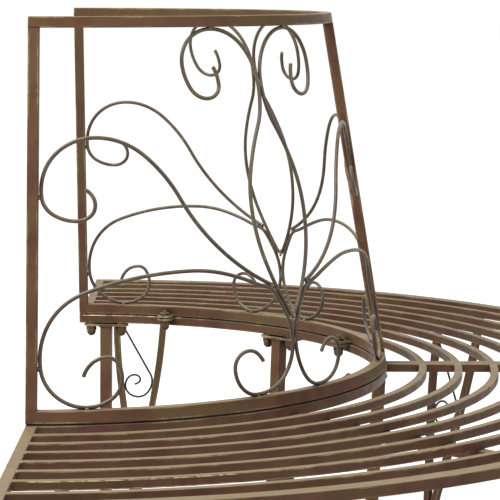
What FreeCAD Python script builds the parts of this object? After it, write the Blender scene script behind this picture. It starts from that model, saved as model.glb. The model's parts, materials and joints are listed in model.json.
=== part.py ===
import FreeCAD, Part
import os
from math import asin, atan2, ceil, cos, degrees, hypot, pi, radians, sin

# Half-ring bench that stands round one side of a tree. Millimetres, +Z up, sitters face -Y.
# Each segment is a quarter ring that starts at its free end and runs to the joint at the front.
# The left segment is drawn about the ring's centre. The right one mirrors its frame, and has the
# same scrollwork turned on round the ring.

V = FreeCAD.Vector
UP = V(0, 0, 1)

# Seat
rim_radius = 799.5
rim_width = 20.0
rim_height = 12.0
seat_height = 430.0
slat_width = 10.0
slat_height = 10.0
slat_count = 7
first_slat_gap = 40.5
rim_slat_gap = 30.0
wide_gap_ratio = 1.2
inner_rail_width = 12.5
inner_rail_height = 12.0
end_bar_width = 13.0
cross_bar_width = 14.0
cross_bar_height = 12.0
joint_gap = 1.0
corner = 1.2

# Back panel, whose foot stands straight above the seat's inner rail
back_radius = 420.5
back_height = 442.6
back_lean = 0.166
back_tube = 12.5
back_bottom_height = 14.1
back_seat_gap = 1.8

# Scrollwork of round rod, bowed towards the sitters between the posts
rod_diameter = 4.5
kiss_gap = 0.1
post_stand_off = 1.2
bow_depth = 16.9
bow_low_bias = 0.59
scroll_offset = 3.4
upper_scroll_widest = 0.555
lower_scroll_widest = 0.102
peg_diameter = 3.4

# Longest stretch and turn of a rod between two of its stations
rod_step = 45.0
rod_turn = 32.0

# Numbers of the drawing work alone: the step along a surface that gives its slope, the least turn
# that counts as an arc, and how near two edges are sewn together
slope_step = 0.01
least_turn = 1e-5
sewing_distance = 1e-4

# Inner legs, under the seat's inner rail
inner_leg_width = 16.0
inner_leg_lean = 0.05
inner_leg_inset = 39.0
inner_middle_angle = 44.5
inner_plate_length = 65.0
inner_bolt_spacing = 44.0
inner_plate_set_back = 0.5

# Outer legs, each a pair of bars under the rim
leg_bar_width = 10.0
leg_top_half = 38.6
outer_leg_lean = 0.22
outer_leg_inset = 72.5
outer_middle_angle = 46.0
outer_plate_length = 108.0
outer_bolt_spacing = 44.0
leg_straight_top = 20.0
leg_taper_angle = 8.9
leg_top_bend_radius = 900.0
leg_foot_bend_radius = 160.0
wire_diameter = 3.2
wire_start_drop = 56.0
wire_height = 120.0

# Plates, fasteners and glides
plate_width = 16.0
plate_thickness = 2.5
bolt_diameter = 8.0
bolt_clearance = 0.2
washer_diameter = 13.5
washer_thickness = 1.6
nut_across_flats = 13.0
nut_flat_height = 6.5
nut_height = 15.0
dome_set_in = 0.5
tab_width = 20.0
tab_reach = 23.5
tab_thickness = 2.5
tab_free_angle = 18.5
tab_joint_angle = 68.0
tab_head_diameter = 13.0
tab_head_height = 4.0
tab_crown_height = 4.0
joint_bolt_diameter = 5.0
joint_bolt_slat = 5
small_nut_flats = 8.0
small_nut_flat_height = 4.0
small_nut_height = 8.5
glide_margin = 1.0
glide_height = 5.0

# Worked out from the sizes above
back_base = seat_height + back_seat_gap
slat_bottom = seat_height - slat_height
rim_middle = rim_radius - rim_width / 2
rim_inner = rim_radius - rim_width
rail_middle = back_radius - inner_rail_width / 2
inner_leg_radius = back_radius - inner_plate_set_back - plate_width / 2
first_slat = back_radius + first_slat_gap + slat_width / 2
last_slat = rim_inner - rim_slat_gap - slat_width / 2
slat_pitch = (last_slat - first_slat) / (slat_count - 2 + wide_gap_ratio)
rod_radius = rod_diameter / 2
wire_radius = wire_diameter / 2
ring_centre_y = rim_radius / 2
quarter = pi / 2
middle = pi / 4
middle_angle = degrees(middle)


# Outlines and solids of revolution

def rounded_outline(points, radius):
    """Closed wire through flat points, with every corner rounded to the same radius."""
    edges = []
    ends = []
    count = len(points)
    for i, point in enumerate(points):
        back = (points[i - 1] - point).normalize()
        ahead = (points[(i + 1) % count] - point).normalize()
        half = back.getAngle(ahead) / 2
        reach = radius / (sin(half) / cos(half))
        inward = (back + ahead).normalize()
        crown = point + inward * (radius / sin(half) - radius)
        ends.append((point + back * reach, crown, point + ahead * reach))
    for i, (start, crown, end) in enumerate(ends):
        edges.append(Part.Arc(start, crown, end).toShape())
        edges.append(Part.LineSegment(end, ends[(i + 1) % count][0]).toShape())
    return Part.Wire(edges)


def ring_bar(section):
    """Quarter ring from the free end at -X to the joint at -Y, with a section of (radius, z)."""
    points = [V(-radius, 0, z) for radius, z in section]
    face = Part.Face(rounded_outline(points, corner))
    return face.revolve(V(0, 0, 0), UP, 90)


def upright_section(inner, outer, bottom, top):
    return [(inner, bottom), (outer, bottom), (outer, top), (inner, top)]


def between_ends(shape, inset):
    """Cuts a quarter ring square, this far inside its free end and its joint end."""
    reach = 2 * rim_radius
    return shape.common(Part.makeBox(reach, reach, reach, V(-reach - inset, -reach - inset, 0)))


def annulus(inner, outer, bottom, top):
    disc = Part.makeCylinder(outer, top - bottom, V(0, 0, bottom))
    return disc.cut(Part.makeCylinder(inner, top - bottom, V(0, 0, bottom)))


def radial_bar(width, bottom, top, side):
    """Bar along -X, from the inner rail to the rim, whose sides lie at side and side - width."""
    points = [V(0, side, bottom), V(0, side - width, bottom), V(0, side - width, top), V(0, side, top)]
    bar = Part.Face(rounded_outline(points, corner)).extrude(V(-rim_radius, 0, 0))
    return bar.common(annulus(back_radius, rim_inner, bottom, top))


def rectangle(centre, half_across, half_through, across=V(1, 0, 0), through=V(0, 1, 0)):
    """Rounded rectangle about a centre, as a closed wire."""
    signs = ((-1, -1), (1, -1), (1, 1), (-1, 1))
    points = [centre + across * (half_across * i) + through * (half_through * j) for i, j in signs]
    return rounded_outline(points, corner)


def turned(shape, angle):
    """Turns a shape drawn at the free end by this many degrees towards the joint."""
    return shape.rotated(V(0, 0, 0), UP, angle)


def flipped(shape):
    """The same shape at the segment's other end: mirrored in its middle line."""
    return shape.mirror(V(0, 0, 0), V(1, -1, 0))


# Paths of straight runs and tangent arcs, and the bars that follow them

def piece_to(start, heading, end):
    """Straight run or arc that leaves start along heading and arrives at end, and its new heading."""
    chord = end - start
    angle = heading.getAngle(chord)
    if angle < least_turn:
        return ("line", start, heading, chord), heading
    axis = heading.cross(chord).normalize()
    inward = axis.cross(heading).normalize()
    radius = chord.Length / (2 * sin(angle))
    turn = FreeCAD.Rotation(axis, degrees(2 * angle))
    return ("arc", start, heading, start + inward * radius, axis, degrees(2 * angle)), turn.multVec(heading)


def two_arcs(start, heading, end, end_heading):
    """Two tangent pieces that join two points and their headings."""
    chord = end - start
    total = heading + end_heading
    spread = 2 * (1 - heading.dot(end_heading))
    along = chord.dot(total)
    if spread < least_turn ** 2:
        reach = chord.dot(chord) / (2 * along)
    else:
        reach = (-along + (along * along + spread * chord.dot(chord)) ** 0.5) / spread
    joint = (start + heading * reach + end - end_heading * reach) / 2
    first, joint_heading = piece_to(start, heading, joint)
    second, _ = piece_to(joint, joint_heading, end)
    return [first, second]


def path_through(stations):
    pieces = []
    for (start, heading), (end, end_heading) in zip(stations, stations[1:]):
        pieces += two_arcs(start, heading, end, end_heading)
    return pieces


def swept(profile, pieces):
    """Closed solid of one closed profile carried along the pieces of a path."""
    first = profile
    faces = []
    for piece in pieces:
        if piece[0] == "line":
            faces += profile.extrude(piece[3]).Faces
            profile = profile.translated(piece[3])
        else:
            faces += profile.revolve(piece[3], piece[4], piece[5]).Faces
            profile = profile.rotated(piece[3], piece[4], piece[5])
    faces += [Part.Face(first), Part.Face(profile)]
    skin = Part.makeCompound(faces)
    skin.sewShape(sewing_distance)
    solid = Part.makeSolid(skin.Shells[0])
    if solid.Volume < 0:
        solid = solid.reversed()
    return solid


def round_rod(stations, radius):
    start, heading = stations[0]
    profile = Part.Wire([Part.Circle(start, heading, radius).toShape()])
    return swept(profile, path_through(stations))


# The bowed surface that the scrollwork lies in

rod_floor = back_base + back_bottom_height + rod_radius
rod_ceiling = back_base + back_height - back_tube - rod_radius
rod_rise = rod_ceiling - rod_floor


def frame_radius(z):
    """Radius of the middle of the back frame's tubes at a height."""
    return back_radius - back_tube / 2 - back_lean * (z - back_base)


def half_room(z):
    """Way along the ring from the panel's middle line to a rod that stands beside a post."""
    radius = frame_radius(z)
    beside_post = back_tube + post_stand_off + rod_radius
    return radius * (middle - asin(beside_post / radius))


def on_panel(across, up):
    """Place on the left panel: across from the pattern's middle line, up from the bottom rail.

    Across is positive towards the free end. The middle line is a little nearer to the joint.
    """
    z = rod_floor + up
    share = min(max(up / rod_rise, 0.0), 1.0)
    fade = cos(quarter * across / half_room(z))
    bow = bow_depth * fade * sin(pi * share ** bow_low_bias)
    radius = frame_radius(z)
    angle = middle - (across - scroll_offset * fade) / radius
    return V(-(radius + bow) * cos(angle), -(radius + bow) * sin(angle), z)


def laid_on_panel(pieces):
    """Points and headings on the panel, a few for each piece of a flat path."""
    flat = []
    for piece in pieces:
        start, heading = piece[1], piece[2]
        if piece[0] == "line":
            steps = max(1, ceil(piece[3].Length / rod_step))
            flat += [(start + piece[3] * (i / steps), heading) for i in range(steps)]
            continue
        centre, axis, angle = piece[3:]
        length = radians(angle) * (start - centre).Length
        steps = max(1, ceil(angle / rod_turn), ceil(length / rod_step))
        for i in range(steps):
            turn = FreeCAD.Rotation(axis, angle * i / steps)
            flat.append((centre + turn.multVec(start - centre), turn.multVec(heading)))
    return flat


def station(point, heading, side):
    nudge = heading * slope_step
    ahead = on_panel(side * (point.x + nudge.x), point.y + nudge.y)
    behind = on_panel(side * (point.x - nudge.x), point.y - nudge.y)
    return on_panel(side * point.x, point.y), (ahead - behind).normalize()


def scroll(stations, side):
    """Rod on the panel through (across, up, heading), in shares of the room and in degrees.

    Across counts from the middle line, towards the free end where side is 1 and towards the joint
    where it is -1. A heading of 0 points that way and 90 points up. Where across is None the rod
    touches its twin on the middle line.
    """
    flat = []
    for across, up, heading in stations:
        rise = up * rod_rise
        beside = rod_radius + kiss_gap / 2
        if across is not None:
            beside = across * half_room(rod_floor + rise)
        angle = radians(heading)
        flat.append((V(beside, rise, 0), V(cos(angle), sin(angle), 0)))
    placed = laid_on_panel(path_through(flat)) + [flat[-1]]
    return round_rod([station(point, heading, side) for point, heading in placed], rod_radius)


def stem(side):
    """Tall stem that bulges like a tulip, touches its twin and curls over at the top."""
    return scroll([
        (None, 0.2108, 58),
        (0.146, 0.504, 90),
        (0.050, 0.732, 119),
        (None, 0.848, 90),
        (0.2365, 1.0, 0),
        (0.397, 0.902, -90),
        (0.2925, 0.8115, -180),
        (0.2275, 0.850, -270),
        (0.247, 0.897, -300),
    ], side)


def upper_scroll(side):
    """Side scroll that rises from the knot, rounds its shoulder and curls in below."""
    return scroll([
        (0.0923, 0.2991, 25),
        (0.459, 0.547, 66),
        (0.787, 0.7126, 0),
        (1.0, upper_scroll_widest, -90),
        (0.8665, 0.492, -180),
        (0.794, 0.539, -270),
        (0.831, 0.575, -332),
    ], side)


def lower_scroll(side):
    """Side scroll whose rod passes the knot, meets its twin and ends in the foot loop."""
    return scroll([
        (0.848, 0.081, 111),
        (0.762, 0.132, 180),
        (0.711, 0.084, 270),
        (0.837, 0.0, 360),
        (1.0, lower_scroll_widest, 450),
        (0.439, 0.353, 540),
        (0.1723, 0.3081, 564),
        (0.0785, 0.2741, 597),
        (None, 0.140, 630),
        (0.169, 0.0, 720),
        (0.280, 0.0796, 810),
        (0.218, 0.126, 900),
        (0.156, 0.0935, 961),
    ], side)


def scroll_peg(rod, share):
    """Short peg from the free-end post to a side scroll's widest place, cut to the rod."""
    rise = share * rod_rise
    touch = on_panel(half_room(rod_floor + rise), rise)
    foot = V(touch.x, -back_tube, touch.z)
    peg = Part.makeCylinder(peg_diameter / 2, foot.y - touch.y, foot, V(0, -1, 0))
    return max(peg.cut(rod).Solids, key=lambda solid: solid.Volume)


# Seat of the left segment

def slat_radius(number):
    """Middle of a slat, counted from 1 at the inner rail: the last one stands off by a wider gap."""
    if number == slat_count:
        return last_slat
    return first_slat + (number - 1) * slat_pitch


def seat_ring(middle_radius, width, height, inset):
    inner = middle_radius - width / 2
    section = upright_section(inner, inner + width, seat_height - height, seat_height)
    return between_ends(ring_bar(section), inset)


def tab(bottom, angle):
    """Small plate with a round end and a bolt hole, on the tree side of a rail."""
    inner = rail_inner_face(bottom)
    hole_radius = bolt_diameter / 2 + bolt_clearance
    block = Part.makeBox(tab_reach - tab_width / 2, tab_width, tab_thickness,
                         V(-inner, -tab_width / 2, bottom))
    nose = Part.makeCylinder(tab_width / 2, tab_thickness, V(tab_hole_x, 0, bottom))
    plate = block.fuse(nose).removeSplitter()
    rail = annulus(inner, inner + back_tube, bottom, bottom + tab_thickness)
    plate = plate.cut(rail)
    plate = plate.cut(Part.makeCylinder(hole_radius, tab_thickness, V(tab_hole_x, 0, bottom)))
    return turned(plate, angle)


def rail_inner_face(z):
    """Inner face of the seat rail below the gap, and of the leaning bottom rail above it."""
    if z < seat_height:
        return back_radius - inner_rail_width
    return back_radius - back_tube - back_lean * (z + tab_thickness - back_base)


tab_hole_x = -(back_radius - inner_rail_width - tab_reach + tab_width / 2)


def seat_parts():
    parts = {}
    rail = seat_ring(rail_middle, inner_rail_width, inner_rail_height, 0)
    low = seat_height - tab_thickness
    tabs = [tab(low, tab_free_angle), tab(low, tab_joint_angle)]
    parts["seat_inner_rail"] = [rail] + tabs
    for number in range(1, slat_count + 1):
        slat = seat_ring(slat_radius(number), slat_width, slat_height, end_bar_width)
        parts["seat_slat_%d" % number] = [slat]
    parts["seat_rim"] = [seat_ring(rim_middle, rim_width, rim_height, 0)]
    end_bar = radial_bar(end_bar_width, slat_bottom, seat_height, 0)
    parts["seat_free_end_bar"] = [end_bar]
    parts["seat_joint_end_bar"] = [drilled(flipped(end_bar))]
    cross_bar = radial_bar(cross_bar_width, slat_bottom - cross_bar_height, slat_bottom,
                           cross_bar_width / 2)
    parts["seat_cross_bar"] = [turned(cross_bar, middle_angle)]
    return parts


def drilled(bar):
    """Joint end bar with the hole for the bolt that draws the two segments together."""
    radius = joint_bolt_diameter / 2 + bolt_clearance
    start = V(-end_bar_width, *joint_bolt_place())
    return bar.cut(Part.makeCylinder(radius, end_bar_width, start, V(1, 0, 0)))


def joint_bolt_place():
    """Place along and above the end bar, between two slats."""
    return -(slat_radius(joint_bolt_slat) + slat_pitch / 2), seat_height - slat_height / 2


# Back panel of the left segment

def back_ring(bottom, top):
    """Rail of the back frame, whose faces lean with the posts."""
    low = back_radius - back_lean * bottom
    high = back_radius - back_lean * top
    section = [(low - back_tube, back_base + bottom), (low, back_base + bottom),
               (high, back_base + top), (high - back_tube, back_base + top)]
    return ring_bar(section)


def back_post():
    """Leaning post at the free end, between the two rails."""
    low = back_base + back_bottom_height
    high = back_base + back_height - back_tube
    radius = back_radius - back_lean * back_bottom_height
    points = [V(-radius, 0, low), V(-radius, -back_tube, low),
              V(-radius + back_tube, -back_tube, low), V(-radius + back_tube, 0, low)]
    face = Part.Face(rounded_outline(points, corner))
    return face.extrude(V(back_lean * (high - low), 0, high - low))


def back_parts():
    parts = {}
    tabs = [tab(back_base, tab_free_angle), tab(back_base, tab_joint_angle)]
    parts["back_bottom_rail"] = [back_ring(0, back_bottom_height)] + tabs
    parts["back_top_rail"] = [back_ring(back_height - back_tube, back_height)]
    post = back_post()
    parts["back_free_post"] = [post]
    parts["back_joint_post"] = [flipped(post)]
    return parts


def scrollwork():
    """The rods beside each end of the left segment, and the pegs that hold them to the posts."""
    rods = {}
    pegs = []
    for side, end in ((1, "free"), (-1, "joint")):
        upper = upper_scroll(side)
        lower = lower_scroll(side)
        rods[end] = {"scroll_stem_": stem(side), "upper_scroll_": upper, "lower_scroll_": lower}
        for rod, share in ((upper, upper_scroll_widest), (lower, lower_scroll_widest)):
            if end == "free":
                pegs.append(scroll_peg(rod, share))
            else:
                pegs.append(flipped(scroll_peg(flipped(rod), share)))
    return rods, pegs


# Legs, drawn at the front and then turned to their places

def stadium(length, width, thickness, bottom, centre_y):
    """Flat plate along X with round ends."""
    half = length / 2 - width / 2
    plate = Part.makeBox(2 * half, width, thickness, V(-half, centre_y - width / 2, bottom))
    for end in (-half, half):
        plate = plate.fuse(Part.makeCylinder(width / 2, thickness, V(end, centre_y, bottom)))
    return plate.removeSplitter()


def top_plate(length, spacing, centre_y, top):
    plate = stadium(length, plate_width, plate_thickness, top - plate_thickness, centre_y)
    radius = bolt_diameter / 2 + bolt_clearance
    for x in (-spacing / 2, spacing / 2):
        hole = Part.makeCylinder(radius, plate_thickness, V(x, centre_y, top - plate_thickness))
        plate = plate.cut(hole)
    return plate


def cap(radius, rise):
    """Round cap of a ball that stands on the origin."""
    ball = (radius * radius + rise * rise) / (2 * rise)
    reach = atan2(radius, ball - rise)
    crown = V(ball * sin(reach / 2), 0, rise - ball + ball * cos(reach / 2))
    outline = Part.Wire([
        Part.LineSegment(V(0, 0, 0), V(radius, 0, 0)).toShape(),
        Part.Arc(V(radius, 0, 0), crown, V(0, 0, rise)).toShape(),
        Part.LineSegment(V(0, 0, rise), V(0, 0, 0)).toShape(),
    ])
    return Part.Face(outline).revolve(V(0, 0, 0), UP, 360)


def dome_nut(across_flats, flat_height, height, bore, depth):
    """Hexagon nut with a domed end, drawn hanging down from the origin with its bore on top."""
    radius = across_flats / 2
    corners = [V(radius / cos(pi / 6) * cos(i * pi / 3), radius / cos(pi / 6) * sin(i * pi / 3), 0)
               for i in range(7)]
    nut = Part.Face(Part.makePolygon(corners)).extrude(V(0, 0, -flat_height))
    dome = cap(radius - dome_set_in, height - flat_height).translated(V(0, 0, flat_height))
    dome = dome.mirror(V(0, 0, 0), UP)
    nut = nut.fuse(dome).removeSplitter()
    return nut.cut(Part.makeCylinder(bore, depth, V(0, 0, -depth)))


def ring_washer(diameter, thickness, bolt_radius):
    disc = Part.makeCylinder(diameter / 2, thickness)
    return disc.cut(Part.makeCylinder(bolt_radius + bolt_clearance, thickness))


def hanging_fixing(x, y, top):
    """Stud from a rail's underside, with the washer above a leg plate and the dome nut below it."""
    radius = bolt_diameter / 2
    nut_top = top - washer_thickness - plate_thickness
    engaged = nut_height - radius
    stud = Part.makeCylinder(radius, top - nut_top + engaged, V(x, y, nut_top - engaged))
    washer = ring_washer(washer_diameter, washer_thickness, radius)
    washer = washer.translated(V(x, y, top - washer_thickness))
    nut = dome_nut(nut_across_flats, nut_flat_height, nut_height, radius, engaged)
    return [stud, washer, nut.translated(V(x, y, nut_top))]


def inner_leg():
    """Square tube that leans in towards the tree, with its plate under the inner rail."""
    rail_bottom = seat_height - inner_rail_height
    top = rail_bottom - washer_thickness
    plate = top_plate(inner_plate_length, inner_bolt_spacing, -inner_leg_radius, top)
    head = top - plate_thickness
    half = inner_leg_width / 2
    down = V(0, inner_leg_lean, -1) * (head - glide_height)
    tube = Part.Face(rectangle(V(0, -inner_leg_radius, head), half, half)).extrude(down)
    glide_half = half + glide_margin
    glide = Part.Face(rectangle(V(0, down.y - inner_leg_radius, 0), glide_half, glide_half))
    glide = glide.extrude(V(0, 0, glide_height))
    fixings = []
    for x in (-inner_bolt_spacing / 2, inner_bolt_spacing / 2):
        fixings += hanging_fixing(x, -inner_leg_radius, rail_bottom)
    return [tube, plate], fixings, glide


def leg_plane(x, drop):
    """Place in the leaning plane of an outer pair, this far along it below the rim."""
    slope = hypot(1, outer_leg_lean)
    return V(x, -rim_middle + drop * outer_leg_lean / slope, seat_height - rim_height - drop / slope)


def plane_heading(angle):
    """Heading in that plane: 0 points along +X and 90 points down the leg."""
    step = leg_plane(cos(radians(angle)), sin(radians(angle))) - leg_plane(0, 0)
    return step.normalize()


def bar_stations():
    """One bar of a pair: straight, bent in towards its twin, then straight down beside it."""
    slant = radians(leg_taper_angle)
    top_inward = leg_top_bend_radius * (1 - cos(slant))
    foot_inward = leg_foot_bend_radius * (1 - cos(slant))
    straight_inward = leg_top_half - leg_bar_width / 2 - kiss_gap / 2 - top_inward - foot_inward
    drops = [0.0, leg_straight_top]
    drops.append(drops[-1] + leg_top_bend_radius * sin(slant))
    drops.append(drops[-1] + straight_inward * cos(slant) / sin(slant))
    drops.append(drops[-1] + leg_foot_bend_radius * sin(slant))
    drops.append(seat_height * hypot(1, outer_leg_lean))
    halves = [leg_top_half, leg_top_half, leg_top_half - top_inward,
              leg_top_half - top_inward - straight_inward,
              leg_bar_width / 2 + kiss_gap / 2, leg_bar_width / 2 + kiss_gap / 2]
    angles = [90, 90, 90 + leg_taper_angle, 90 + leg_taper_angle, 90, 90]
    return list(zip(halves, drops, angles))


def bar_half_at(drop):
    """How far a bar's middle is from the pair's middle line at a drop below the rim."""
    slant = radians(leg_taper_angle)
    into = drop - leg_straight_top
    bend = leg_top_bend_radius * sin(slant)
    if into <= 0:
        return leg_top_half
    if into <= bend:
        return leg_top_half - leg_top_bend_radius * (1 - cos(asin(into / leg_top_bend_radius)))
    top_inward = leg_top_bend_radius * (1 - cos(slant))
    return leg_top_half - top_inward - (into - bend) * sin(slant) / cos(slant)


def leg_bar():
    """Bar on the +X side of an outer pair, cut level under its plate and above its glide."""
    half = leg_bar_width / 2
    stations = [(leg_plane(x, drop), plane_heading(angle)) for x, drop, angle in bar_stations()]
    through = plane_heading(90).cross(V(1, 0, 0))
    profile = rectangle(leg_plane(leg_top_half, 0), half, half, through=through)
    bar = swept(profile, path_through(stations))
    top = seat_height - rim_height - washer_thickness - plate_thickness
    wide = 2 * leg_top_half
    standing = Part.makeBox(2 * wide, rim_radius, top - glide_height, V(-wide, -rim_radius, glide_height))
    return bar.common(standing)


def wire_scroll():
    """Thin wire that springs from one bar, touches the other and curls between the two.

    Its places are shares of the room between the bars and of its own height, with a heading.
    """
    places = [
        (1.0, 0.0, 121.3),
        (-0.789, 0.692, 121.3),
        (-1.0, 0.819, 81.5),
        (0.0, 1.0, 0),
        (1.0, 0.867, -81.2),
        (0.274, 0.707, -180),
        (-0.121, 0.768, -270),
        (0.283, 0.833, -343),
    ]
    beside_bar = (leg_bar_width / 2 + wire_radius) / cos(radians(leg_taper_angle)) + kiss_gap / 2
    stations = []
    for across, down, angle in places:
        drop = wire_start_drop + down * wire_height
        x = across * (bar_half_at(drop) - beside_bar)
        stations.append((leg_plane(x, drop), plane_heading(angle)))
    return round_rod(stations, wire_radius)


def outer_leg():
    bar = leg_bar()
    twin = bar.mirror(V(0, 0, 0), V(1, 0, 0))
    rim_bottom = seat_height - rim_height
    top = rim_bottom - washer_thickness
    plate = top_plate(outer_plate_length, outer_bolt_spacing, -rim_middle, top)
    foot_y = leg_plane(0, (rim_bottom - glide_height) * hypot(1, outer_leg_lean)).y
    half_length = leg_bar_width + glide_margin
    half_width = leg_bar_width / 2 + glide_margin
    glide = Part.Face(rectangle(V(0, foot_y, 0), half_length, half_width))
    glide = glide.extrude(V(0, 0, glide_height))
    fixings = []
    for x in (-outer_bolt_spacing / 2, outer_bolt_spacing / 2):
        fixings += hanging_fixing(x, -rim_middle, rim_bottom)
    return [bar, twin, plate], fixings, glide


def leg_places(inset, radius, between):
    """Angle from the left free end, and the shift of the segment that the leg is under."""
    end_angle = degrees(asin(inset / radius))
    shift = joint_gap / 2
    return {
        "left_end": (end_angle, -shift),
        "left_middle": (between, -shift),
        "joint": (90, 0),
        "right_middle": (180 - between, shift),
        "right_end": (180 - end_angle, shift),
    }


# Bolts through the tabs, and through the joint end bars

def tab_fixing(angle):
    """Bolt with a flanged round head, the washer between the two tabs, and the dome nut below."""
    radius = bolt_diameter / 2
    head_bottom = back_base + tab_thickness
    nut_top = seat_height - tab_thickness
    engaged = nut_height - radius
    shank = Part.makeCylinder(radius, head_bottom - nut_top + engaged, V(0, 0, nut_top - engaged))
    flange = Part.makeCylinder(tab_head_diameter / 2, tab_head_height, V(0, 0, head_bottom))
    crown = cap(radius, tab_crown_height).translated(V(0, 0, head_bottom + tab_head_height))
    bolt = shank.fuse([flange, crown]).removeSplitter()
    washer = ring_washer(washer_diameter, back_seat_gap, radius)
    washer = washer.translated(V(0, 0, seat_height))
    nut = dome_nut(nut_across_flats, nut_flat_height, nut_height, radius, engaged)
    nut = nut.translated(V(0, 0, nut_top))
    return [turned(piece.translated(V(tab_hole_x, 0, 0)), angle) for piece in (bolt, washer, nut)]


def joint_fixing():
    """Bolt along X through both joint end bars, with a dome nut at each end."""
    half = joint_gap / 2 + end_bar_width
    y, z = joint_bolt_place()
    radius = joint_bolt_diameter / 2
    engaged = small_nut_height - radius
    bolt = Part.makeCylinder(radius, 2 * (half + engaged), V(-half - engaged, y, z), V(1, 0, 0))
    nut = dome_nut(small_nut_flats, small_nut_flat_height, small_nut_height, radius, engaged)
    left = nut.rotated(V(0, 0, 0), V(0, 1, 0), 90).translated(V(-half, y, z))
    return [bolt, left, left.mirror(V(0, 0, 0), V(1, 0, 0))]


# The whole bench

def mirrored(solid):
    """A piece of the left segment in its place, and its mirror image in the right segment."""
    left = solid.translated(V(-joint_gap / 2, 0, 0))
    return left, left.mirror(V(0, 0, 0), V(1, 0, 0))


def turned_on(solid):
    """A piece of the left segment in its place, and the same piece turned on round the ring."""
    shift = V(joint_gap / 2, 0, 0)
    return solid.translated(-shift), turned(solid, 90).translated(shift)


def bench():
    nodes = {}
    for name, solids in {**seat_parts(), **back_parts()}.items():
        pairs = [mirrored(solid) for solid in solids]
        nodes["left_" + name] = [left for left, _ in pairs]
        nodes["right_" + name] = [right for _, right in pairs]
    rods, pegs = scrollwork()
    for end, other_end in (("free", "joint"), ("joint", "free")):
        for name, rod in rods[end].items():
            left, right = turned_on(rod)
            nodes["left_" + name + end] = [left]
            nodes["right_" + name + other_end] = [right]
    nodes["scroll_pegs"] = [piece for peg in pegs for piece in turned_on(peg)]

    fixings = []
    glides = []
    wires = []
    rows = (
        ("inner_leg_", inner_leg(), leg_places(inner_leg_inset, inner_leg_radius, inner_middle_angle)),
        ("outer_leg_", outer_leg(), leg_places(outer_leg_inset, rim_middle, outer_middle_angle)),
    )
    wire = wire_scroll()
    for prefix, (leg, bolts, glide), places in rows:
        for name, (angle, along) in places.items():
            move = V(along, 0, 0)
            nodes[prefix + name] = [turned(solid, angle - 90).translated(move) for solid in leg]
            fixings += [turned(solid, angle - 90).translated(move) for solid in bolts]
            glides.append(turned(glide, angle - 90).translated(move))
            if prefix == "outer_leg_":
                wires.append(turned(wire, angle - 90).translated(move))
    nodes["leg_wire_scrolls"] = wires
    nodes["leg_fixings"] = fixings
    nodes["leg_glides"] = glides

    tab_bolts = tab_fixing(tab_free_angle) + tab_fixing(tab_joint_angle)
    nodes["back_fixings"] = [piece for solid in tab_bolts for piece in mirrored(solid)]
    nodes["joint_fixings"] = joint_fixing()
    return nodes


def main():
    os.makedirs("parts", exist_ok=True)
    lift = V(0, ring_centre_y, 0)
    nodes = bench()
    for name, solids in nodes.items():
        moved = [solid.translated(lift) for solid in solids]
        shape = moved[0] if len(moved) == 1 else Part.makeCompound(moved)
        shape.exportStep("parts/" + name + ".step")
    print(len(nodes), "nodes")


main()
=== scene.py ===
import json
from math import asin, cos, degrees, hypot, pi, radians, sin

import bmesh
import bpy
from mathutils import Matrix, Vector, noise


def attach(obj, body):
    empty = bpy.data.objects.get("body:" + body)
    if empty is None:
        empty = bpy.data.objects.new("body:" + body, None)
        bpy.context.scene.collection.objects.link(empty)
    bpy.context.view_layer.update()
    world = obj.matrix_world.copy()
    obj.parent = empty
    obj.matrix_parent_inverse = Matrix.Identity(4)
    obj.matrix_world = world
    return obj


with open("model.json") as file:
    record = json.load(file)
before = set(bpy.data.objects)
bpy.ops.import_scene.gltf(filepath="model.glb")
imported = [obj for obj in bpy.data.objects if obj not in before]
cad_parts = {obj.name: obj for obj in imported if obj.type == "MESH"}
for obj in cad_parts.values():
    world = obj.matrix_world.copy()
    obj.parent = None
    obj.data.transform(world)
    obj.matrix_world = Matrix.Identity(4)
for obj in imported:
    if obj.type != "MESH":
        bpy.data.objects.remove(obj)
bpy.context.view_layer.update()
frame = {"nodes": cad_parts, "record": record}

# Lengths in metres and angles in degrees, in the CAD frame. The ring's centre is at (0, CENTRE_Y).

CENTRE_Y = 0.39975
JOINT_HALF = 0.0005

# Back panels
BACK_RADIUS = 0.4205
BACK_BASE = 0.4318
BACK_HEIGHT = 0.4426
BACK_BOTTOM = 0.0141
BACK_LEAN = 0.166
TUBE = 0.0125
ROD_RADIUS = 0.00225
POST_STAND_OFF = 0.0012
BOW = 0.0169
BOW_LOW_BIAS = 0.59
SCROLL_OFFSET = 0.0034

# Where the rods touch something, as shares of a panel's room across from its middle line, and up
FOOT_TOUCHES = (0.837, 0.169)
CURL_TOUCH = 0.2365
POST_TOUCHES = (0.555, 0.102)
FORK_ACROSS = 0.098
FORK_UP = 0.297
STEM_TOUCHES = (0.848, 0.140, 0.2108)

# Seat. The last slat, next to the rim, stands apart from the even ones.
SEAT_TOP = 0.430
FIRST_SLAT = 0.466
LAST_SLAT = 0.7445
SLAT_PITCH = 0.0449194
EVEN_SLATS = 6
SLAT = 0.010
END_BAR = 0.013
CROSS_BAR = 0.014
RIM_INNER = 0.7795
RIM_MIDDLE = 0.7895
SLAT_RADII = [FIRST_SLAT + SLAT_PITCH * i for i in range(EVEN_SLATS)] + [LAST_SLAT]

# Legs. The outer ones are pairs of bars, which lean out and meet at LEG_MEET_DROP along themselves.
RAIL_BOTTOM = 0.418
PLATE_UNDER = 0.4139
INNER_LEG_RADIUS = 0.412
INNER_LEG_HALF = 0.008
INNER_LEG_INSET = 0.039
INNER_MIDDLE_ANGLE = 44.5
OUTER_LEG_INSET = 0.0725
OUTER_MIDDLE_ANGLE = 46.0
LEG_TOP_HALF = 0.0386
LEG_BAR_HALF = 0.005
LEG_LEAN = 0.22
LEG_LEAN_AT_PLATE = 0.0009
LEG_MEET_DROP = 0.3225


# Camera, solved from the two quarter rings

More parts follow.
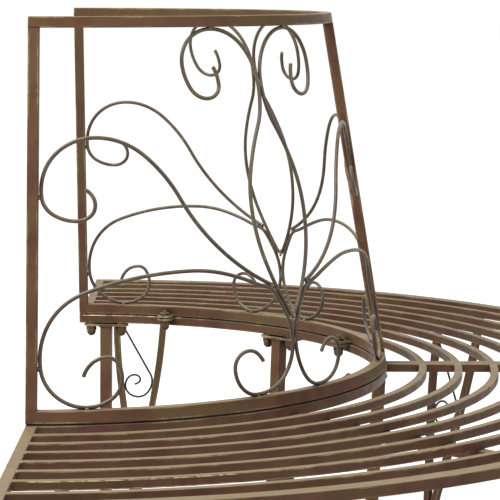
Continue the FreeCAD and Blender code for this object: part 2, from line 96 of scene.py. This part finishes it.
def place_camera():
    place = Vector((-2.88052, 0.16118, 0.91924))
    yaw, pitch, roll = radians(-0.1568), radians(-6.8318), radians(0.1641)
    ahead = Vector((cos(yaw) * cos(pitch), sin(yaw) * cos(pitch), sin(pitch)))
    right = Vector((sin(yaw), -cos(yaw), 0))
    up = right.cross(ahead)
    rolled_right = right * cos(roll) + up * sin(roll)
    rolled_up = up * cos(roll) - right * sin(roll)
    data = bpy.data.cameras.new("photo_camera")
    data.sensor_fit = "HORIZONTAL"
    data.sensor_width = 36
    data.lens = 164.705
    data.clip_end = 200
    camera = bpy.data.objects.new("photo_camera", data)
    turn = Matrix((rolled_right, rolled_up, -ahead)).transposed().to_4x4()
    camera.matrix_world = Matrix.Translation(place) @ turn
    bpy.context.scene.collection.objects.link(camera)
    bpy.context.scene.camera = camera


# Shader nodes

class Nodes:
    """Short names for building the nodes of one material or world."""

    def __init__(self, tree):
        self.tree = tree
        self.tree.nodes.clear()

    def add(self, kind, inputs=None, **settings):
        node = self.tree.nodes.new(kind)
        for name, value in settings.items():
            setattr(node, name, value)
        for name, value in (inputs or {}).items():
            self.put(node.inputs[name], value)
        return node

    def put(self, socket, value):
        if isinstance(value, bpy.types.NodeSocket):
            self.tree.links.new(value, socket)
        else:
            socket.default_value = value

    def math(self, operation, a, b=0.0, clamp=False):
        node = self.add("ShaderNodeMath", operation=operation, use_clamp=clamp)
        self.put(node.inputs[0], a)
        self.put(node.inputs[1], b)
        return node.outputs[0]

    def noise(self, place, scale, detail=3.0, roughness=0.55, distortion=0.0):
        node = self.add("ShaderNodeTexNoise", {
            "Vector": place, "Scale": scale, "Detail": detail,
            "Roughness": roughness, "Distortion": distortion})
        return node.outputs["Fac"]

    def between(self, value, low, high, to_low=0.0, to_high=1.0):
        """Runs softly from to_low to to_high while the value runs from low to high."""
        node = self.add("ShaderNodeMapRange", {
            "Value": value, "From Min": low, "From Max": high,
            "To Min": to_low, "To Max": to_high}, interpolation_type="SMOOTHSTEP")
        return node.outputs["Result"]

    def mix(self, share, a, b):
        node = self.add("ShaderNodeMix", data_type="RGBA")
        self.put(node.inputs["Factor"], share)
        self.put(node.inputs["A"], a)
        self.put(node.inputs["B"], b)
        return node.outputs["Result"]

    def seen(self):
        """1 for what the camera sees, straight or in metal and glass, and 0 for light on the object."""
        rays = self.add("ShaderNodeLightPath").outputs
        seen = self.math("MAXIMUM", rays["Is Camera Ray"], rays["Is Glossy Ray"])
        return self.math("MAXIMUM", seen, rays["Is Transmission Ray"])

    def end_with(self, surface, kind="ShaderNodeOutputMaterial"):
        self.put(self.add(kind).inputs["Surface"], surface)


def new_material(name):
    material = bpy.data.materials.new(name)
    material.use_nodes = True
    return material, Nodes(material.node_tree)


def off_the_seams(n, place):
    """0 where a back post is welded flush to a rail, and 1 elsewhere: no arris is left there."""
    past_post = 0.002
    seam_reach, seam_core = 0.0050, 0.0034
    spot = n.add("ShaderNodeSeparateXYZ", {"Vector": place}).outputs
    post_side = JOINT_HALF + TUBE
    at_free_post = n.between(spot["Y"], CENTRE_Y - TUBE - past_post, CENTRE_Y - TUBE)
    at_joint_post = n.between(n.math("ABSOLUTE", spot["X"]), post_side + past_post, post_side)
    below = n.math("ABSOLUTE", n.math("SUBTRACT", spot["Z"], BACK_BASE + BACK_BOTTOM))
    above = n.math("ABSOLUTE", n.math("SUBTRACT", spot["Z"], BACK_BASE + BACK_HEIGHT - TUBE))
    near_seam = n.between(n.math("MINIMUM", below, above), seam_reach, seam_core)
    welded = n.math("MULTIPLY", n.math("MAXIMUM", at_free_post, at_joint_post), near_seam)
    return n.math("SUBTRACT", 1.0, welded)


def brushed_edge(n, place, true_normal, edge_width):
    """How much gold the brush has left on the arrises, from 0 to 1, in a width that wanders."""
    narrowest, widest = 0.45 * edge_width, 1.9 * edge_width
    wander = n.between(n.noise(place, scale=17.0), 0.36, 0.66, narrowest, widest)
    rounded = n.add("ShaderNodeBevel", {"Radius": wander}, samples=8).outputs["Normal"]
    facing = n.add("ShaderNodeVectorMath", operation="DOT_PRODUCT")
    n.put(facing.inputs[0], rounded)
    n.put(facing.inputs[1], true_normal)
    edge = n.between(facing.outputs["Value"], 0.998, 0.93)
    worn = n.between(n.noise(place, scale=90.0, detail=4.0, roughness=0.65, distortion=0.4), 0.34, 0.60)
    edge = n.math("MULTIPLY", edge, n.between(worn, 0.0, 1.0, to_low=0.30))
    return n.math("MULTIPLY", edge, off_the_seams(n, place))


def brushed_paint(name, dark, light, olive, gold, film, spread, top_gold_and_light_share, edge_width,
                  sheen=0.42, specular=0.12):
    """Brown paint, mottled, with a gold brush finish, most on arrises. Faces that look up get a painted
    highlight, and corners a painted shade.

    The brown runs from dark to light, and in large soft patches a thin film of gold turns it olive.
    film is how strong that is, from 0 to 1. spread is how much of the flat surface the gold brush has
    caught, from 0 to 1, and top_gold_and_light_share is how much more gold lies on faces that look up,
    partly the brush and partly a painted highlight of the light from above. edge_width is how far the
    gold reaches from an arris. sheen is the lowest roughness, and specular how strong the paint's own
    mirror is.
    """
    material, n = new_material(name)
    place = n.add("ShaderNodeTexCoord").outputs["Object"]
    geometry = n.add("ShaderNodeNewGeometry").outputs
    upward = n.add("ShaderNodeSeparateXYZ", {"Vector": geometry["Normal"]}).outputs["Z"]

    mottle = n.between(n.noise(place, scale=26.0, detail=5.0, roughness=0.6), 0.32, 0.70)
    tint = n.between(n.noise(place, scale=7.5, detail=4.0, roughness=0.6), 0.42, 0.62)
    paint = n.mix(n.math("MULTIPLY", tint, film), n.mix(mottle, dark, light), olive)

    least_streak = 0.62 - 0.3 * spread
    strokes = n.noise(place, scale=48.0, detail=6.0, roughness=0.7, distortion=1.2)
    streak = n.between(strokes, least_streak, least_streak + 0.3)
    # Faces that look up get more gold: partly the brush, partly a painted highlight of the light from
    # above.
    top = n.between(upward, 0.55, 0.95, to_high=top_gold_and_light_share)
    gold_and_top_light = n.math("ADD", n.math("MULTIPLY", streak, spread), top)
    edge = brushed_edge(n, place, geometry["True Normal"], edge_width)
    gold_and_top_light = n.math("MAXIMUM", gold_and_top_light, edge, clamp=True)
    # Painted shade: where the AO node finds a corner or crevice closed in, the colour runs towards near
    # black (0.020, 0.013, 0.009), and the roughness rises there too.
    open_air = n.add("ShaderNodeAmbientOcclusion", {"Distance": 0.022}, samples=6).outputs["AO"]
    painted_corner_shade = n.between(open_air, 0.30, 0.80, to_low=0.85, to_high=0.0)
    colour = n.mix(painted_corner_shade, n.mix(gold_and_top_light, paint, gold), (0.020, 0.013, 0.009, 1))

    grain = n.math("MULTIPLY", n.noise(place, scale=1100.0, detail=2.0), 0.5)
    height = n.math("ADD", grain, n.noise(place, scale=210.0))
    bump = n.add("ShaderNodeBump", {"Height": height, "Strength": 0.28, "Distance": 0.0003})
    rough = n.between(n.noise(place, scale=60.0), 0.3, 0.7, sheen, sheen + 0.14)
    shader = n.add("ShaderNodeBsdfPrincipled", {
        "Base Color": colour, "Roughness": n.math("MAXIMUM", rough, painted_corner_shade),
        "Normal": bump.outputs["Normal"], "Metallic": n.math("MULTIPLY", gold_and_top_light, 0.30),
        "Specular IOR Level": specular})
    n.end_with(shader.outputs["BSDF"])
    return material


def rubber(name):
    material, n = new_material(name)
    place = n.add("ShaderNodeTexCoord").outputs["Object"]
    scuff = n.between(n.noise(place, scale=120.0, detail=4.0), 0.45, 0.75)
    grain = n.noise(place, scale=1500.0, detail=2.0)
    bump = n.add("ShaderNodeBump", {"Height": grain, "Strength": 0.3, "Distance": 0.0003})
    shader = n.add("ShaderNodeBsdfPrincipled", {
        "Base Color": n.mix(scuff, (0.012, 0.012, 0.012, 1), (0.035, 0.033, 0.031, 1)),
        "Roughness": n.between(scuff, 0.0, 1.0, to_low=0.62, to_high=0.8),
        "Normal": bump.outputs["Normal"]})
    n.end_with(shader.outputs["BSDF"])
    return material


# The scrollwork's surface, as the CAD draws it

ROD_FLOOR = BACK_BASE + BACK_BOTTOM + ROD_RADIUS
ROD_RISE = BACK_HEIGHT - BACK_BOTTOM - TUBE - 2 * ROD_RADIUS


def frame_radius(z):
    return BACK_RADIUS - TUBE / 2 - BACK_LEAN * (z - BACK_BASE)


def on_panel(across, up):
    """Place on the left panel, about the ring's centre, by shares of the room between the posts."""
    z = ROD_FLOOR + up * ROD_RISE
    radius = frame_radius(z)
    room = radius * (pi / 4 - asin((TUBE + POST_STAND_OFF + ROD_RADIUS) / radius))
    fade = cos(across * pi / 2)
    bow = BOW * fade * sin(pi * min(max(up, 0.0), 1.0) ** BOW_LOW_BIAS)
    angle = pi / 4 - (across * room - SCROLL_OFFSET * fade) / radius
    return Vector((-(radius + bow) * cos(angle), -(radius + bow) * sin(angle), z))


# The same place in both segments. Places of the left one are about the ring's centre.

def both_turned(point):
    """A place of the left segment, and the same one turned on into the right segment."""
    return [Vector((point.x - JOINT_HALF, point.y + CENTRE_Y, point.z)),
            Vector((-point.y + JOINT_HALF, point.x + CENTRE_Y, point.z))]


def both_mirrored(point):
    """A place of the left segment, and its mirror image in the right segment."""
    return [Vector((point.x - JOINT_HALF, point.y + CENTRE_Y, point.z)),
            Vector((-point.x + JOINT_HALF, point.y + CENTRE_Y, point.z))]


def both_ends(point):
    """A place at the free end, and the one that mirrors it at the joint."""
    return [point, Vector((point.y, point.x, point.z))]


# Weld beads: small uneven lumps of metal where two pieces meet. Their sizes are half sizes along X,
# Y and Z.

def weld_beads(name, places):
    """One piece of many beads. Each place is (centre, half sizes)."""
    lump_scale, lump_height = 1.9, 0.22
    apart_x, apart_y = 7.3, 1.7
    mesh = bmesh.new()
    for number, (centre, half) in enumerate(places):
        made = bmesh.ops.create_icosphere(mesh, subdivisions=2, radius=1.0)
        own_spot = Vector((number * apart_x, number * apart_y, 0.0))
        for vertex in made["verts"]:
            direction = vertex.co.copy()
            uneven = noise.noise(direction * lump_scale + own_spot)
            swollen = direction * (1.0 + lump_height * uneven)
            vertex.co = centre + Vector((swollen[i] * half[i] for i in range(3)))
    for face in mesh.faces:
        face.smooth = True
    data = bpy.data.meshes.new(name)
    mesh.to_mesh(data)
    mesh.free()
    piece = bpy.data.objects.new(name, data)
    bpy.context.scene.collection.objects.link(piece)
    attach(piece, "root")
    return piece


def back_bead_places():
    """Beads where the rods meet the rails, the posts and each other."""
    foot_bead, curl_bead = (0.0032, 0.0032, 0.0018), (0.0036, 0.0036, 0.0018)
    post_bead, fork_bead = (0.0028, 0.0028, 0.0028), (0.0026, 0.0026, 0.0034)
    stem_bead, stem_steps = (0.0017, 0.0017, 0.0026), (-0.006, 0.0, 0.006)
    to_rail = Vector((0, 0, -0.0017))
    to_post = 0.0030
    spots = []
    for side in (1, -1):
        for across in FOOT_TOUCHES:
            spots.append((on_panel(side * across, 0.0) + to_rail, foot_bead))
        spots.append((on_panel(side * CURL_TOUCH, 1.0) - to_rail, curl_bead))
        for up in POST_TOUCHES:
            towards_post = Vector((0, 1, 0)) if side == 1 else Vector((1, 0, 0))
            spots.append((on_panel(side, up) + towards_post * to_post, post_bead))
        spots.append((on_panel(side * FORK_ACROSS, FORK_UP), fork_bead))
    for up in STEM_TOUCHES:
        for step in stem_steps:
            spots.append((on_panel(0.0, up + step), stem_bead))
    return [(point, half) for centre, half in spots for point in both_turned(centre)]


def seat_bead_places():
    """Beads in the corners where the slats and rings run into the end bars and the cross bars."""
    end_bead, cross_bead = (0.0013, 0.0013, 0.0036), (0.0030, 0.0030, 0.0016)
    end_bead_drop, cross_bead_drop = 0.0042, 0.0006
    rail_bead_out = 0.001
    faces = [(radius, edge) for radius in SLAT_RADII for edge in (-SLAT / 2, SLAT / 2)]
    faces += [(BACK_RADIUS, 0.0), (RIM_INNER, 0.0)]
    places = []
    for radius, edge in faces:
        x = -(radius ** 2 - END_BAR ** 2) ** 0.5 + edge
        for end in both_ends(Vector((x, -END_BAR, SEAT_TOP - end_bead_drop))):
            places += [(point, end_bead) for point in both_mirrored(end)]
    for radius in [BACK_RADIUS + rail_bead_out] + SLAT_RADII:
        for edge in (-CROSS_BAR / 2, CROSS_BAR / 2):
            along = (radius ** 2 - edge ** 2) ** 0.5
            x = (-along + edge) / 2 ** 0.5
            y = (-along - edge) / 2 ** 0.5
            spot = Vector((x, y, SEAT_TOP - SLAT - cross_bead_drop))
            places += [(point, cross_bead) for point in both_mirrored(spot)]
    return places


def turned_leg(point, angle, shift):
    """A place of a leg drawn at the front, at its own place round the ring."""
    turn = radians(angle - 90)
    return Vector((point.x * cos(turn) - point.y * sin(turn) + shift,
                   point.x * sin(turn) + point.y * cos(turn) + CENTRE_Y, point.z))


def leg_angles(inset, radius, middle):
    """Angle round the ring and sideways shift of each leg. The end legs stand in by the inset."""
    end = degrees(asin(inset / radius))
    return [(end, -JOINT_HALF), (middle, -JOINT_HALF), (90, 0.0),
            (180 - middle, JOINT_HALF), (180 - end, JOINT_HALF)]


def round_square_tube():
    """Spots round a tube's outline, as shares of its half width. Beads stay off the corners."""
    steps, off_corner = 5, 0.9
    spots = []
    for i in range(steps):
        along = (2 * i / (steps - 1) - 1) * off_corner
        for edge in (-1, 1):
            spots += [(along, edge), (edge, along)]
    return spots


def leg_bead_places():
    """Beads round the legs' tops, under the plates, and down the line where a pair of bars meets."""
    tube_bead, bar_bead = (0.0022, 0.0022, 0.0014), (0.0018, 0.0018, 0.0012)
    meet_bead, meet_beads, meet_step = (0.0022, 0.0014, 0.0030), 4, 0.0045
    top = PLATE_UNDER - 0.0004
    places = []
    for angle, shift in leg_angles(INNER_LEG_INSET, INNER_LEG_RADIUS, INNER_MIDDLE_ANGLE):
        for u, v in round_square_tube():
            spot = Vector((u * INNER_LEG_HALF, v * INNER_LEG_HALF - INNER_LEG_RADIUS, top))
            places.append((turned_leg(spot, angle, shift), tube_bead))
    slope = hypot(1, LEG_LEAN)
    meet_y = -RIM_MIDDLE + LEG_MEET_DROP * LEG_LEAN / slope
    meet_z = RAIL_BOTTOM - LEG_MEET_DROP / slope
    for angle, shift in leg_angles(OUTER_LEG_INSET, RIM_MIDDLE, OUTER_MIDDLE_ANGLE):
        for side in (-1, 1):
            for u, v in round_square_tube():
                spot = Vector((side * LEG_TOP_HALF + u * LEG_BAR_HALF,
                               v * LEG_BAR_HALF - RIM_MIDDLE + LEG_LEAN_AT_PLATE, top))
                places.append((turned_leg(spot, angle, shift), bar_bead))
            for step in range(meet_beads):
                down = step * meet_step
                spot = Vector((0, meet_y + side * LEG_BAR_HALF + down * LEG_LEAN, meet_z - down))
                places.append((turned_leg(spot, angle, shift), meet_bead))
    return places


# Floor, background and light

def make_floor():
    """A pale floor that the camera sees as white far out, and with the bench's shadow near it."""
    reach = 30.0
    white_from, white_at = 0.7, 1.6
    mesh = bpy.data.meshes.new("floor")
    corners = [(-reach, -reach, 0), (reach, -reach, 0), (reach, reach, 0), (-reach, reach, 0)]
    mesh.from_pydata(corners, [], [(0, 1, 2, 3)])
    floor = bpy.data.objects.new("floor", mesh)
    bpy.context.scene.collection.objects.link(floor)
    material, n = new_material("pale_floor")
    seen = n.seen()
    colour = n.mix(seen, (0.80, 0.80, 0.79, 1), (0.56, 0.56, 0.56, 1))
    plain = n.add("ShaderNodeBsdfDiffuse", {"Color": colour})
    place = n.add("ShaderNodeTexCoord").outputs["Object"]
    away = n.add("ShaderNodeVectorMath", {"Vector": place}, operation="LENGTH").outputs["Value"]
    glow = n.between(away, white_from, white_at, to_low=0.22, to_high=0.85)
    white = n.add("ShaderNodeEmission", {
        "Color": (1, 1, 1, 1), "Strength": n.math("MULTIPLY", seen, glow)})
    both = n.add("ShaderNodeAddShader")
    n.put(both.inputs[0], plain.outputs["BSDF"])
    n.put(both.inputs[1], white.outputs["Emission"])
    n.end_with(both.outputs["Shader"])
    mesh.materials.append(material)


def make_world():
    """White where it is seen, and dimmer as light on the bench."""
    world = bpy.data.worlds.new("studio")
    bpy.context.scene.world = world
    world.use_nodes = True
    n = Nodes(world.node_tree)
    strength = n.between(n.seen(), 0.0, 1.0, to_low=0.36, to_high=1.0)
    back = n.add("ShaderNodeBackground", {"Color": (1, 1, 1, 1), "Strength": strength})
    n.end_with(back.outputs["Background"], kind="ShaderNodeOutputWorld")


def make_lamp(name, place, aim, size, power):
    data = bpy.data.lights.new(name, "AREA")
    data.shape = "DISK"
    data.size = size
    data.energy = power
    lamp = bpy.data.objects.new(name, data)
    turn = (aim - place).to_track_quat("-Z", "Y").to_matrix().to_4x4()
    lamp.matrix_world = Matrix.Translation(place) @ turn
    bpy.context.scene.collection.objects.link(lamp)


# Everything together

def dress(node_materials):
    """Gives every CAD node its finished material, by its record slot or its name."""
    slots = {part["node"]: part["material_slot"] for part in frame["record"]["subparts"]}
    for name, node in frame["nodes"].items():
        material = node_materials[slots[name]]
        # Seat nodes get a darker copy of the brown paint: painted shade between the slats.
        if "_seat_" in name:
            material = node_materials["seat_paint"]
        elif "back_joint_post" in name:
            material = node_materials["post_paint"]
        elif "wire_scroll" in name:
            material = node_materials["wire_paint"]
        elif "scroll" in name and slots[name] == "brown_paint":
            material = node_materials["rod_paint"]
        for slot in node.material_slots:
            slot.material = material


PANEL_DARK = (0.080, 0.035, 0.020, 1)
PANEL_LIGHT = (0.112, 0.053, 0.031, 1)
PANEL_GOLD = (0.400, 0.318, 0.170, 1)

materials = {
    "brown_paint": brushed_paint(
        "brushed_brown_paint", dark=PANEL_DARK, light=PANEL_LIGHT, olive=(0.100, 0.068, 0.028, 1),
        gold=PANEL_GOLD, film=0.72, spread=0.14, top_gold_and_light_share=0.38, edge_width=0.0020),
    "post_paint": brushed_paint(
        "brushed_brown_post_paint", dark=PANEL_DARK, light=PANEL_LIGHT, olive=(0.108, 0.068, 0.032, 1),
        gold=PANEL_GOLD, film=0.45, spread=0.26, top_gold_and_light_share=0.32, edge_width=0.0030),
    # A darker brown than the panels' paint, as painted shade between the slats.
    "seat_paint": brushed_paint(
        "brushed_brown_seat_paint", dark=(0.064, 0.028, 0.016, 1), light=(0.098, 0.046, 0.028, 1),
        olive=(0.090, 0.060, 0.025, 1), gold=(0.510, 0.425, 0.235, 1),
        film=0.42, spread=0.12, top_gold_and_light_share=0.26, edge_width=0.0016),
    "rod_paint": brushed_paint(
        "brushed_brown_rod_paint", dark=(0.050, 0.030, 0.018, 1), light=(0.086, 0.056, 0.034, 1),
        olive=(0.092, 0.070, 0.036, 1), gold=(0.400, 0.330, 0.190, 1),
        film=0.75, spread=0.36, top_gold_and_light_share=0.34, edge_width=0.0010, sheen=0.26, specular=0.32),
    # A far darker brown than the paint the beads sit on: painted shade for the corners and undersides
    # where most of them sit.
    "shaded_weld_paint": brushed_paint(
        "brushed_brown_shaded_weld_paint", dark=(0.034, 0.018, 0.011, 1), light=(0.056, 0.030, 0.019, 1),
        olive=(0.048, 0.034, 0.018, 1), gold=(0.160, 0.120, 0.060, 1),
        film=0.30, spread=0.08, top_gold_and_light_share=0.04, edge_width=0.0004),
    "fixings": brushed_paint(
        "brown_fixings_paint", dark=(0.056, 0.028, 0.017, 1), light=(0.086, 0.048, 0.029, 1),
        olive=(0.085, 0.058, 0.028, 1), gold=(0.300, 0.235, 0.120, 1),
        film=0.70, spread=0.22, top_gold_and_light_share=0.26, edge_width=0.0009),
    "wire_paint": brushed_paint(
        "grey_wire_paint", dark=(0.034, 0.032, 0.029, 1), light=(0.052, 0.049, 0.044, 1),
        olive=(0.046, 0.044, 0.038, 1), gold=(0.120, 0.110, 0.090, 1),
        film=0.40, spread=0.08, top_gold_and_light_share=0.06, edge_width=0.0004),
    "glide": rubber("black_rubber"),
}
dress(materials)
# The seat and leg beads take the darker brown, a painted shade for the corners they sit in.
for piece_name, bead_places, paint_name in (("back_weld_beads", back_bead_places(), "rod_paint"),
                                            ("seat_weld_beads", seat_bead_places(), "shaded_weld_paint"),
                                            ("leg_weld_beads", leg_bead_places(), "shaded_weld_paint")):
    weld_beads(piece_name, bead_places).data.materials.append(materials[paint_name])

place_camera()
make_floor()
make_world()
bench_middle = Vector((0, 0, 0.45))
make_lamp("key_lamp", place=Vector((-1.3, 1.7, 3.4)), aim=bench_middle, size=2.2, power=170.0)
make_lamp("fill_lamp", place=Vector((-2.2, -2.2, 2.4)), aim=bench_middle, size=2.6, power=45.0)

bpy.context.scene.view_settings.view_transform = "Standard"
